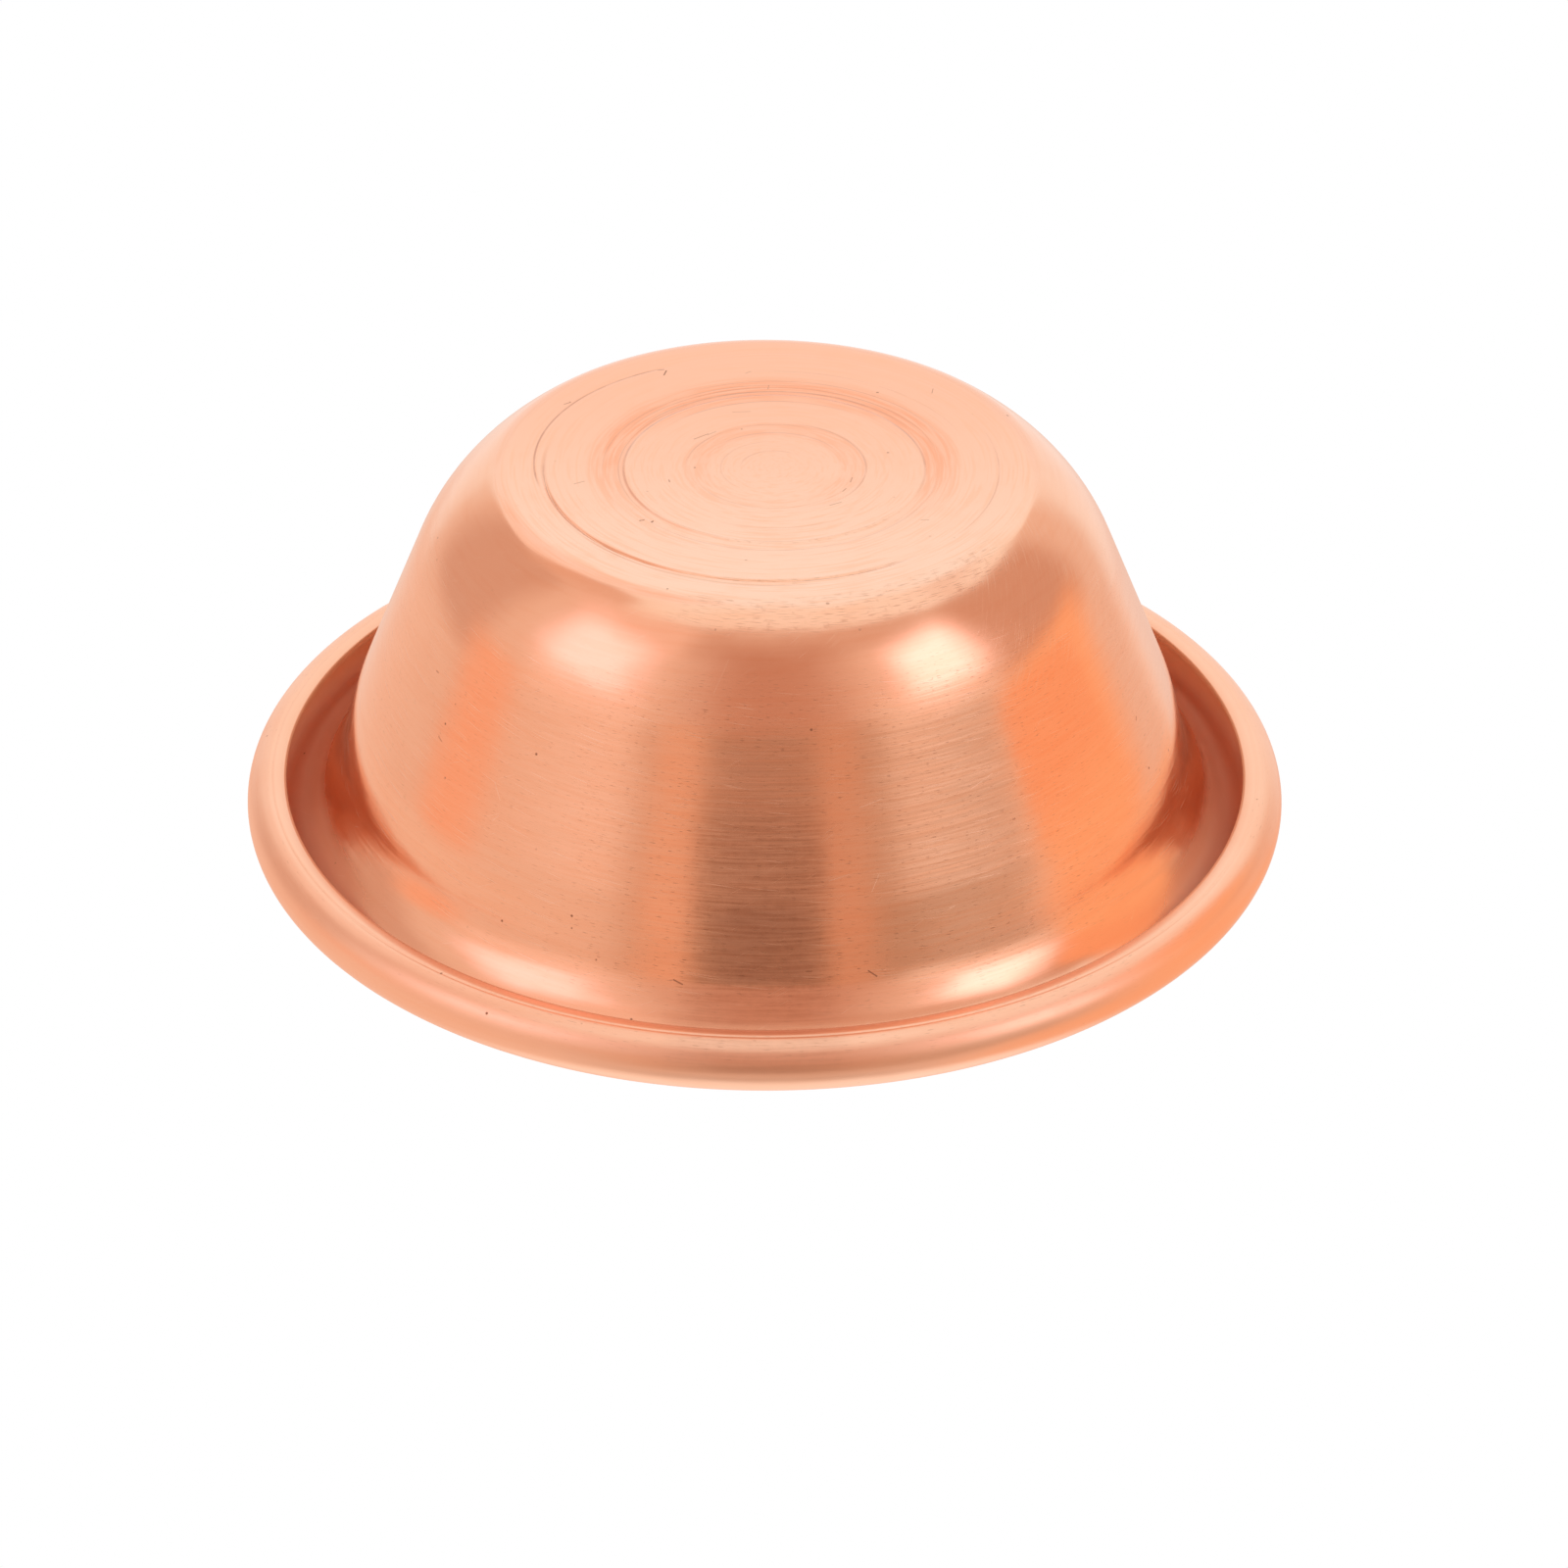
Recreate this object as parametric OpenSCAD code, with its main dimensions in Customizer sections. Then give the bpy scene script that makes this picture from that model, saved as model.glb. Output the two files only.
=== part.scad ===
// Small offering bowl, spun from one disc of copper sheet. Its neck flares out into a rim that is curled under.
// It stands on its base with its mouth up: the origin is the middle of the underside and +Z is up.

/* [Bowl] */
// Width over the rim
bowl_w = 50; // [40:0.5:80]
// Height, from the underside to the top of the rim
bowl_h = 19.2; // [16:0.2:24]
// Thickness of the sheet
sheet_t = 0.5; // [0.3:0.05:0.7]

/* [Base and wall] */
// How far the rim reaches out past the flat underside, on each side
overhang = 13; // [12:0.25:16]
// Radius of the rounding between the underside and the shoulder
foot_round = 1.85; // [1:0.05:3]
// Angle by which that rounding turns the sheet up
foot_turn = 36; // [27:1:45]
// Radius of the shoulder, which turns the sheet on into the wall
shoulder_round = 10.5; // [6:0.5:12]
// Radius of the belly, which steepens the wall below the neck
belly_round = 10.5; // [6:0.5:14]
// Lean of the neck, outwards from upright
neck_lean = 12; // [6:1:16]
// Length of the straight neck below the flare
neck_len = 1.45; // [0.5:0.05:3]

/* [Rim] */
// Radius of the flare between the neck and the brim, on the inside
flare_round = 4.9; // [4:0.1:5.6]
// Rise of the straight brim, above the horizontal
brim_rise = 37; // [30:1:45]
// Length of the straight brim, from the flare to the curl
brim_len = 1.5; // [0.5:0.1:2]
// Radius of the curl at the outer edge
curl_round = 1.4; // [1:0.05:1.6]
// Angle by which the curl runs on, inwards, past the bowl's widest circle
curl_turn = 111; // [90:1:130]

/* [Turning marks] */
// Distance from the edge of the flat underside in to the groove
groove_in = 1.15; // [0.6:0.05:2]
// Width of the groove
groove_cut_w = 0.16; // [0.1:0.02:0.4]
// Depth of the groove
groove_cut_d = 0.07; // [0.03:0.01:0.15]
// Distance from the groove in to the middle of the broad hollow ring
ring_in = 3.35; // [2:0.05:5]
// Width of the broad ring
ring_cut_w = 1.5; // [0.8:0.1:2.5]
// Depth of the broad ring
ring_cut_d = 0.07; // [0.03:0.01:0.12]
// Distance from the broad ring in to the small ring
small_ring_in = 3.1; // [2:0.1:5]
// Width of the small ring
small_ring_cut_w = 0.5; // [0.3:0.05:1]
// Depth of the small ring
small_ring_cut_d = 0.05; // [0.02:0.01:0.1]
// Angle of the fine line on the curl, past the bowl's widest circle
crease_turn = 82; // [60:1:88]
// Width of that line
crease_cut_w = 0.12; // [0.08:0.02:0.3]
// Depth of that line
crease_cut_d = 0.05; // [0.02:0.01:0.1]

/* [Hidden] */

copper = [0.93, 0.60, 0.45];
// Angle between two points of an arc
arc_step = 5;
// How far the cuts stand out of the face that they are made in
overrun = 0.05;

base_r = bowl_w / 2 - overhang;
groove_r = base_r - groove_in;
ring_r = groove_r - ring_in;
small_ring_r = ring_r - small_ring_in;

// Heading of the neck, as an angle above the horizontal, on the way from the middle of the base to the rim
neck_heading = 90 - neck_lean;
// Direction square to the brim, up and inwards
brim_normal = brim_rise + 90;

foot_c = [base_r, foot_round];
shoulder_c = foot_c + (shoulder_round - foot_round) * dir(foot_turn + 90);
curl_c = [bowl_w / 2 - curl_round, bowl_h - curl_round];
brim_foot = curl_c + curl_round * dir(brim_normal) - brim_len * dir(brim_rise);
flare_c = brim_foot - flare_round * dir(brim_normal);
neck_top = flare_c + (flare_round - sheet_t) * dir(neck_heading + 90);
neck_foot = neck_top - neck_len * dir(neck_heading);

// A wall that ran straight from the shoulder to the neck's foot would have this heading. Where it is steeper
// than the neck, the belly bends the other way, about a centre outside the bowl, and its radius is negative.
neck_run = neck_foot - shoulder_c;
straight_heading = atan2(neck_run[1], neck_run[0]) + asin(shoulder_round / norm(neck_run));
belly_bend = (straight_heading < neck_heading ? 1 : -1) * belly_round;
belly_c = neck_foot + belly_bend * dir(neck_heading + 90);

// The straight wall touches the shoulder's and the belly's arcs
wall_run = belly_c - shoulder_c;
wall_heading = atan2(wall_run[1], wall_run[0]) - asin((belly_bend - shoulder_round) / norm(wall_run));

function dir(a) = [cos(a), sin(a)];

function reversed(list) = [for (i = [len(list) - 1 : -1 : 0]) list[i]];

function arc(c, r, from, to) =
    let (steps = ceil(abs(to - from) / arc_step))
    [for (i = [0 : steps]) c + r * dir(from + (to - from) * i / steps)];

// One face of the sheet, from the axis to the lip. The first three arcs turn up, and the last two turn down.
// The insets say how far the face lies from the underside on the first three, and from the inside on the last.
function face(inset_up, inset_down) = concat(
    [[0, inset_up]],
    arc(foot_c, foot_round - inset_up, -90, foot_turn - 90),
    arc(shoulder_c, shoulder_round - inset_up, foot_turn - 90, wall_heading - 90),
    arc(belly_c, belly_bend - inset_up, wall_heading - 90, neck_heading - 90),
    arc(flare_c, flare_round - inset_down, neck_heading + 90, brim_normal),
    arc(curl_c, curl_round - inset_down, brim_normal, -curl_turn)
);

function underside() = face(0, sheet_t);

function inside() = face(sheet_t, 0);

// The round edge in which the curl ends
function lip() =
    let (c = curl_c + (curl_round - sheet_t / 2) * dir(-curl_turn))
    arc(c, sheet_t / 2, -curl_turn, -curl_turn - 180);

// Half of the sheet's section, drawn at the right of the axis
module sheet_section() {
    polygon(concat(inside(), lip(), reversed(underside())));
}

// A shallow V, w wide and d deep, cut up into the underside at radius r
module base_groove(r, w, d) {
    polygon([[r - w / 2, 0], [r, d], [r + w / 2, 0], [r, -overrun]]);
}

// A shallow trough with sloping sides, w wide and d deep, cut up into the underside at radius r
module base_ring(r, w, d) {
    polygon([[r - w / 2, 0], [r - w / 4, d], [r + w / 4, d], [r + w / 2, 0], [r, -overrun]]);
}

// The fine line that the tool left along the curl
module curl_mark() {
    translate(curl_c)
    rotate(-crease_turn)
    polygon([
        [curl_round, crease_cut_w / 2],
        [curl_round - crease_cut_d, 0],
        [curl_round, -crease_cut_w / 2],
        [curl_round + overrun, 0]
    ]);
}

module bowl() {
    color(copper)
    rotate_extrude($fn = 180)
    difference() {
        sheet_section();
        base_groove(groove_r, groove_cut_w, groove_cut_d);
        base_ring(ring_r, ring_cut_w, ring_cut_d);
        base_ring(small_ring_r, small_ring_cut_w, small_ring_cut_d);
        curl_mark();
    }
}

bowl();
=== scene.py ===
"""A small spun copper offering bowl. It stands mouth up at the origin, as in the CAD model. The main camera
looks at it from below, rolled half a turn, because the photograph shows it lying upside down."""

import math

import bpy
import numpy as np
from mathutils import Matrix, Vector


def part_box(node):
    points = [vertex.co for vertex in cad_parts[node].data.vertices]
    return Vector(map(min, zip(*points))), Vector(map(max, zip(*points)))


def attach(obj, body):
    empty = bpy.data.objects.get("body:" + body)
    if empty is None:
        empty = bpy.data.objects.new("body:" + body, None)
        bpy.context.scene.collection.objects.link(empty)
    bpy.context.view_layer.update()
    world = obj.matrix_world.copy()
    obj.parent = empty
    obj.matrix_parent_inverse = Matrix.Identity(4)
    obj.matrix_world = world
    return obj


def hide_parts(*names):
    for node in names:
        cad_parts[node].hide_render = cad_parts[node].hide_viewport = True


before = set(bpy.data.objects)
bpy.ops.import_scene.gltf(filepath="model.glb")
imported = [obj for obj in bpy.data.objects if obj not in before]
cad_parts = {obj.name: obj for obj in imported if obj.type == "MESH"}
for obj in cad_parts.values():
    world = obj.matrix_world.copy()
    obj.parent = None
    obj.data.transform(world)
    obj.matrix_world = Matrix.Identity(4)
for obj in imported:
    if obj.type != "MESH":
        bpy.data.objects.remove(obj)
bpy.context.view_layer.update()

MM = 0.001
SEED = 7

# Camera, fitted to the rim, the outline and the groove of the photograph
CAMERA_RISE = 31.965
CAMERA_ROLL = 0.183
CAMERA_DISTANCE = 346.863 * MM
CAMERA_AIM = Vector((0.932 * MM, 0.0, 17.672 * MM))
CAMERA_LENS = 164.40
SENSOR = 36.0
CAMERA_CLIP = 10.0 * MM

# The sheet's section, which follows the CAD model's
node_low, node_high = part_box("bowl")
BOWL_R = (node_high[0] - node_low[0]) / 2
BOWL_H = node_high[2] - node_low[2]
SHEET = 0.5 * MM
OVERHANG = 13.0 * MM
FOOT_ROUND = 1.85 * MM
FOOT_TURN = 36.0
SHOULDER_ROUND = 10.5 * MM
BELLY_ROUND = 10.5 * MM
NECK_HEADING = 78.0
NECK_LENGTH = 1.45 * MM
FLARE_ROUND = 4.9 * MM
BRIM_RISE = 37.0
BRIM_LENGTH = 1.5 * MM
CURL_ROUND = 1.4 * MM
CURL_TURN = 111.0
CREASE_TURN = 82.0

# Mesh
SEGMENTS = 320
STEP = 0.40 * MM
FINE_STEP = 0.15 * MM
CREASE_STEP = 0.022 * MM
CREASE_REACH = 11.0


def direction(degrees):
    """The unit vector at this angle, in the section or seen from above."""
    angle = math.radians(degrees)
    return np.array([math.cos(angle), math.sin(angle)])


def heading(vector):
    return math.degrees(math.atan2(vector[1], vector[0]))


def smoothstep(values, start, end):
    t = np.clip((values - start) / (end - start), 0.0, 1.0)
    return t * t * (3.0 - 2.0 * t)


# Section

BASE_R = BOWL_R - OVERHANG
BRIM_NORMAL = BRIM_RISE + 90
foot_c = np.array([BASE_R, FOOT_ROUND])
shoulder_c = foot_c + (SHOULDER_ROUND - FOOT_ROUND) * direction(FOOT_TURN + 90)
curl_c = np.array([BOWL_R - CURL_ROUND, BOWL_H - CURL_ROUND])
brim_foot = curl_c + CURL_ROUND * direction(BRIM_NORMAL) - BRIM_LENGTH * direction(BRIM_RISE)
flare_c = brim_foot - FLARE_ROUND * direction(BRIM_NORMAL)
neck_top = flare_c + (FLARE_ROUND - SHEET) * direction(NECK_HEADING + 90)
belly_c = neck_top - NECK_LENGTH * direction(NECK_HEADING) + BELLY_ROUND * direction(NECK_HEADING + 90)
wall_heading = heading(belly_c - shoulder_c)
lip_c = curl_c + (CURL_ROUND - SHEET / 2) * direction(-CURL_TURN)


def arc(centre, radius, start, end, step):
    count = max(2, math.ceil(radius * math.radians(abs(end - start)) / step))
    return [centre + radius * direction(start + (end - start) * i / count) for i in range(count + 1)]


def straight(start, end, step):
    """The points between two ends, without the ends."""
    count = max(1, round(np.linalg.norm(end - start) / step))
    return [start + (end - start) * i / count for i in range(1, count)]


def face(inset_up, inset_down, base_stations):
    """One face of the sheet from the axis to the lip. The insets say how far it lies from the underside on
    the arcs that turn up, and from the inside on the arcs that turn down."""
    foot = arc(foot_c, FOOT_ROUND - inset_up, -90, FOOT_TURN - 90, FINE_STEP)
    shoulder = arc(shoulder_c, SHOULDER_ROUND - inset_up, FOOT_TURN - 90, wall_heading - 90, STEP)
    belly = arc(belly_c, BELLY_ROUND - inset_up, wall_heading - 90, NECK_HEADING - 90, STEP)
    flare = arc(flare_c, FLARE_ROUND - inset_down, NECK_HEADING + 90, BRIM_NORMAL, FINE_STEP)
    curl_r = CURL_ROUND - inset_down
    curl = arc(curl_c, curl_r, BRIM_NORMAL, CREASE_REACH - CREASE_TURN, FINE_STEP)
    curl += arc(curl_c, curl_r, CREASE_REACH - CREASE_TURN, -CREASE_REACH - CREASE_TURN, CREASE_STEP)[1:]
    curl += arc(curl_c, curl_r, -CREASE_REACH - CREASE_TURN, -CURL_TURN, FINE_STEP)[1:]
    base = [np.array([r, inset_up]) for r in base_stations]
    wall = straight(shoulder[-1], belly[0], 2 * STEP)
    neck = straight(belly[-1], flare[0], STEP)
    brim = straight(flare[-1], curl[0], STEP)
    return base + foot + shoulder[1:] + wall + belly + neck + flare + brim + curl


def stations(*spans):
    """Radii from the axis outwards. Each span is its outer end and its step, in millimetres."""
    radii = []
    start = 0.0
    for end, step in spans:
        count = max(1, round((end - start) / step))
        radii += [(start + (end - start) * i / count) * MM for i in range(count)]
        start = end
    return radii


# Marks that the lathe and the tools left. Azimuths are those of the photograph: 0 is at its right and -90 in
# front. Places are across and up in the photograph, from the bowl's axis. Lengths are in millimetres.

# Middle of the lathe's circles on the underside
LATHE_AT = (0.42, -0.12)
# The scored circle, and the thin one that carries on from it at the upper left: middle and radius
GROOVE_AT = (0.27, 0.03)
GROOVE_R = 10.73
THIN_AT = (-1.05, 0.54)
THIN_R = 9.86

# How far the flat is dished, so that no ridge stands below the edge that the bowl rests on, and the radii
# between which the dish fades out. The mesh's rings drift back from the lathe's middle over the same stretch.
DISH = 0.018
DISH_FADE = (11.0, 11.95)

# Marks run between two azimuths and fade away past them
WHOLE_CIRCLE = (-180, 180, 30)

# Lines cut into the underside: distance from their circle or from the lathe's middle, depth, width, and the
# azimuths of both ends with the fade. A depth below zero is a ridge.
SCORED_LINES = (
    (0.0, 0.085, 0.080, 194, 284, 34),
    (0.0, 0.0255, 0.080, 228, 268, 16),
    (0.17, -0.018, 0.08, 200, 280, 24),
)
THIN_LINES = ((0.0, 0.030, 0.050, 122, 186, 8),)
LATHE_LINES = (
    (10.62, 0.010, 0.06, -32, 12, 14),
    (8.52, 0.008, 0.06, -20, 220, 50),
    (8.12, 0.012, 0.06, -20, 220, 50),
    (7.86, 0.009, 0.06, -20, 220, 50),
    (7.60, 0.013, 0.06, -20, 220, 50),
    (7.38, 0.010, 0.06, -20, 220, 50),
    (6.98, -0.010, 0.09, *WHOLE_CIRCLE),
    (5.68, 0.010, 0.06, -112, -66, 12),
    (4.82, -0.008, 0.08, 120, 230, 30),
    (4.40, -0.012, 0.08, -60, 45, 25),
    (3.45, 0.010, 0.07, 40, 200, 30),
    (1.55, 0.008, 0.09, 60, 200, 40),
    (0.0, 0.008, 0.22, *WHOLE_CIRCLE),
)
# A line beside the scored circle, which swings out from it for a short way
SWING_FROM = 0.34
SWING = 0.12
SWING_WHERE = (248, 262, 12)
SWING_DEPTH = 0.018
SWING_WIDTH = 0.06
SWING_ENDS = (222, 268, 14)

# Steps in the underside, such as the broad ring's: depth, the radii over which the step goes in, those over
# which it comes out again, and its azimuths
LATHE_STEPS = (
    (0.042, (7.04, 7.18), (7.3, 8.8), WHOLE_CIRCLE),
    (0.020, (6.36, 6.52), (6.6, 7.0), (58, 140, 30)),
    (0.012, (2.8, 3.9), (4.16, 4.34), WHOLE_CIRCLE),
)

# Faint lines strewn over the underside and over the floor inside: how many, width, and the least and the most
# of the radius, the depth, where the line starts and how far it runs
FAINT_LINES = 44
FAINT_WIDTH = 0.06
FAINT_R = (0.6, 11.6)
FAINT_DEPTH = (0.004, 0.010)
FAINT_START = (-180, 180)
FAINT_SWEEP = (50, 200)
FAINT_FADE = 40
FLOOR_LINES = 18
FLOOR_WIDTH = 0.12
FLOOR_R = (0.8, 11.5)
FLOOR_DEPTH = (0.001, 0.003)

# Single lines on the floor inside: radius, depth and width
FLOOR_CIRCLES = ((0.0, 0.012, 0.35), (4.4, 0.010, 0.2), (10.6, 0.014, 0.12))
# The line along the curl and the ridge beside it: angle from the line, depth, and width as an angle
CREASE_LINES = ((0.0, 0.022, 2.6), (8.0, -0.005, 3.5))


def near(values, centre, width):
    return np.exp(-(((values - centre) / width) ** 2))


def window(azimuth, start, end, fade):
    """1 between two azimuths, which may run past 180, and 0 a fade away outside them."""
    middle = (start + end) / 2
    off = np.abs((azimuth - middle + 180) % 360 - 180)
    half = (end - start) / 2
    return 1 - smoothstep(off, half, half + fade)


def base_relief(across, up):
    """How deep the marks are cut up into the underside, at a place given as in the photograph."""
    off_x = across - LATHE_AT[0]
    off_y = up - LATHE_AT[1]
    radius = np.hypot(off_x, off_y)
    azimuth = np.degrees(np.arctan2(off_y, off_x))
    from_scored = np.hypot(across - GROOVE_AT[0], up - GROOVE_AT[1]) - GROOVE_R
    from_thin = np.hypot(across - THIN_AT[0], up - THIN_AT[1]) - THIN_R

    depth = DISH * (1 - smoothstep(np.hypot(across, up), *DISH_FADE))
    for distance, lines in ((from_scored, SCORED_LINES), (from_thin, THIN_LINES), (radius, LATHE_LINES)):
        for line_at, line_depth, width, *ends in lines:
            depth = depth + line_depth * near(distance, line_at, width) * window(azimuth, *ends)
    swung = SWING_FROM + SWING * window(azimuth, *SWING_WHERE)
    depth = depth + SWING_DEPTH * near(from_scored, swung, SWING_WIDTH) * window(azimuth, *SWING_ENDS)
    for step_depth, way_in, way_out, ends in LATHE_STEPS:
        bed = smoothstep(radius, *way_in) * (1 - smoothstep(radius, *way_out))
        depth = depth + step_depth * bed * window(azimuth, *ends)

    random = np.random.default_rng(SEED)
    for _ in range(FAINT_LINES):
        line_r = random.uniform(*FAINT_R)
        line_depth = random.uniform(*FAINT_DEPTH)
        start = random.uniform(*FAINT_START)
        shown = window(azimuth, start, start + random.uniform(*FAINT_SWEEP), FAINT_FADE)
        depth = depth + line_depth * near(radius, line_r, FAINT_WIDTH) * shown
    return depth


def inside_relief(radius):
    """How deep the turning lines on the floor inside are."""
    depth = sum(line_depth * near(radius, line_r, width) for line_r, line_depth, width in FLOOR_CIRCLES)
    random = np.random.default_rng(SEED + 1)
    for _ in range(FLOOR_LINES):
        line_depth = random.uniform(*FLOOR_DEPTH)
        depth = depth + line_depth * near(radius, random.uniform(*FLOOR_R), FLOOR_WIDTH)
    return depth


# Rings of the underside's mesh: outer end of each span and the step in it
BASE_SPANS = ((3.3, 0.18), (6.1, 0.09), (9.0, 0.07), (10.2, 0.15), (11.5, 0.045), (BASE_R / MM, 0.06))
FLOOR_SPANS = ((BASE_R / MM, 0.25),)


def lathe():
    """The bowl's vertices and faces: a ring of vertices for each point of the section, one for each pole."""
    under = face(0.0, SHEET, stations(*BASE_SPANS))
    lip = arc(lip_c, SHEET / 2, -CURL_TURN + 180, -CURL_TURN, FINE_STEP)[1:-1]
    inner = face(SHEET, 0.0, stations(*FLOOR_SPANS))[::-1]
    points = np.array(under + lip + inner)[1:-1]
    which = np.array(["under"] * len(under) + ["lip"] * len(lip) + ["inner"] * len(inner))[1:-1]

    az = 2 * np.pi * np.arange(SEGMENTS) / SEGMENTS
    radius = np.repeat(points[:, :1], SEGMENTS, axis=1)
    height = np.repeat(points[:, 1:], SEGMENTS, axis=1)

    # The rings of the underside lie round the lathe's middle, and drift back to the bowl's axis at its edge
    on_base = (which == "under") & (points[:, 0] < BASE_R) & (points[:, 1] < SHEET / 2)
    drift = np.where(on_base, 1 - smoothstep(points[:, 0] / MM, *DISH_FADE), 0.0)[:, None]
    base_x = (radius * np.cos(az) + LATHE_AT[0] * MM * drift)[on_base]
    base_y = (radius * np.sin(az) - LATHE_AT[1] * MM * drift)[on_base]
    height[on_base] += MM * base_relief(base_x / MM, -base_y / MM)
    on_floor = (which == "inner") & (points[:, 0] < BASE_R) & (points[:, 1] < SHEET * 1.5)
    height[on_floor] -= MM * inside_relief(radius[on_floor] / MM)

    # The fine line along the curl
    out = points - curl_c
    turn = np.degrees(np.arctan2(out[:, 1], out[:, 0]))
    reach = np.linalg.norm(out, axis=1)
    on_curl = (which == "inner") & (np.abs(reach - CURL_ROUND) < SHEET / 10)
    cut = MM * sum(depth * near(turn, off - CREASE_TURN, width) for off, depth, width in CREASE_LINES)
    shift = -np.where(on_curl, cut, 0.0)[:, None] * out / np.maximum(reach, MM / 1000)[:, None]
    radius += shift[:, :1]
    height += shift[:, 1:]

    rings = np.stack([radius * np.cos(az), radius * np.sin(az), height], axis=-1)
    rings[on_base, :, 0] = base_x
    rings[on_base, :, 1] = base_y
    vertices = rings.reshape(-1, 3)
    count = len(vertices)
    bottom = [LATHE_AT[0] * MM, -LATHE_AT[1] * MM, MM * float(base_relief(*LATHE_AT))]
    floor = [0.0, 0.0, SHEET - MM * float(inside_relief(np.zeros(1))[0])]
    vertices = np.concatenate([vertices, [bottom, floor]])

    i, j = np.meshgrid(np.arange(len(points) - 1), np.arange(SEGMENTS), indexing="ij")
    k = (j + 1) % SEGMENTS
    corners = [i * SEGMENTS + j, (i + 1) * SEGMENTS + j, (i + 1) * SEGMENTS + k, i * SEGMENTS + k]
    quads = np.stack(corners, axis=-1)
    faces = quads.reshape(-1, 4)[:, ::-1].tolist()
    last = (len(points) - 1) * SEGMENTS
    for a in range(SEGMENTS):
        b = (a + 1) % SEGMENTS
        faces.append([count, b, a])
        faces.append([count + 1, last + a, last + b])
    return vertices, faces


# Node helpers

class Shader:
    """Adds nodes to a node tree. Most of its calls give the new node's output socket."""

    def __init__(self, tree):
        self.tree = tree
        tree.nodes.clear()

    def node(self, kind, **settings):
        node = self.tree.nodes.new(kind)
        for name, value in settings.items():
            setattr(node, name, value)
        return node

    def feed(self, socket, value):
        if isinstance(value, bpy.types.NodeSocket):
            self.tree.links.new(value, socket)
        else:
            socket.default_value = value

    def math(self, operation, a, b=0.0, c=0.0):
        node = self.node("ShaderNodeMath", operation=operation)
        for socket, value in zip(node.inputs, (a, b, c)):
            self.feed(socket, value)
        return node.outputs[0]

    def plus(self, a, b):
        return self.math("ADD", a, b)

    def minus(self, a, b):
        return self.math("SUBTRACT", a, b)

    def over(self, a, b):
        return self.math("DIVIDE", a, b)

    def times(self, first, *others):
        """The product of several values."""
        for value in others:
            first = self.math("MULTIPLY", first, value)
        return first

    def most(self, first, *others):
        """The greatest of several values."""
        for value in others:
            first = self.math("MAXIMUM", first, value)
        return first

    def length(self, a, b):
        return self.math("SQRT", self.plus(self.times(a, a), self.times(b, b)))

    def dot(self, vector, fixed):
        node = self.node("ShaderNodeVectorMath", operation="DOT_PRODUCT")
        self.feed(node.inputs[0], vector)
        self.feed(node.inputs[1], fixed)
        return node.outputs["Value"]

    def ramp(self, value, start, end, low=0.0, high=1.0):
        node = self.node("ShaderNodeMapRange", interpolation_type="SMOOTHSTEP")
        for socket, given in zip(node.inputs, (value, start, end, low, high)):
            self.feed(socket, given)
        return node.outputs[0]

    def mix(self, factor, a, b):
        node = self.node("ShaderNodeMix", data_type="RGBA")
        self.feed(node.inputs["Factor"], factor)
        for socket, value in ((node.inputs[6], a), (node.inputs[7], b)):
            self.feed(socket, (*value, 1.0) if isinstance(value, tuple) else value)
        return node.outputs[2]

    def mix_shaders(self, factor, a, b):
        node = self.node("ShaderNodeMixShader")
        for socket, value in zip(node.inputs, (factor, a, b)):
            self.feed(socket, value)
        return node.outputs[0]

    def separate(self, vector):
        node = self.node("ShaderNodeSeparateXYZ")
        self.feed(node.inputs[0], vector)
        return node.outputs

    def combine(self, x, y, z):
        node = self.node("ShaderNodeCombineXYZ")
        for socket, value in zip(node.inputs, (x, y, z)):
            self.feed(socket, value)
        return node.outputs[0]

    def noise(self, vector, w, scale, detail=2.0, roughness=0.5):
        node = self.node("ShaderNodeTexNoise", noise_dimensions="4D")
        for name, value in (("Vector", vector), ("W", w), ("Scale", scale), ("Detail", detail),
                            ("Roughness", roughness)):
            self.feed(node.inputs[name], value)
        return node.outputs["Fac"]

    def voronoi(self, vector, scale):
        node = self.node("ShaderNodeTexVoronoi")
        self.feed(node.inputs["Vector"], vector)
        self.feed(node.inputs["Scale"], scale)
        return node.outputs

    def surface(self, shader):
        output = self.node("ShaderNodeOutputMaterial")
        self.feed(output.inputs["Surface"], shader)


def new_material(name):
    material = bpy.data.materials.new(name)
    material.use_nodes = True
    return material


# Copper

COPPER = (0.965, 0.572, 0.395)
COPPER_DEEP = (0.945, 0.500, 0.315)
# Pale worn copper: the bright scratches, and a painted sheen on the rim
COPPER_WORN_AND_SHEEN = (0.97, 0.66, 0.50)
# On the flat underside: a painted reflection, deeper farthest from the main camera and paler nearest to it,
# then painted shade in the rings, and the scored circle
COPPER_FAR_REFLECTION = (0.955, 0.525, 0.360)
COPPER_NEAR_REFLECTION = (0.975, 0.640, 0.480)
COPPER_RING_SHADE = (0.945, 0.420, 0.250)
COPPER_SCORED = (0.52, 0.24, 0.16)
# Painted shade inside the curl, and a painted dark reflection under the brim at both sides
COPPER_CHANNEL_SHADE = (0.80, 0.40, 0.235)
# Tarnish of the specks, flecks and dark marks
TARNISH = (0.36, 0.18, 0.11)
# Dark colour of the scuffs, and of the painted shade that stands for the camera side's dark reflection on the
# wall in front
SCUFF_AND_PAINTED_SHADE = (0.50, 0.25, 0.16)

# The clean metal's roughness, and how deep the bumps of its finest marks are, in millimetres
ROUGHNESS = 0.13
BUMP = 0.0032

# Blotches: seed, scale, detail and roughness of the noise
CLOUD = (3.0, 130.0, 3.0)
SMEAR = (8.0, 420.0, 4.0, 0.6)
GRAIN = (5.0, 2600.0, 3.0, 0.6)
# Slow waves in the wall: seed, scale and detail, and how much faster they change with the height
WAVES = (11.0, 420.0, 1.0)
WAVES_RISE = 1.8

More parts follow.
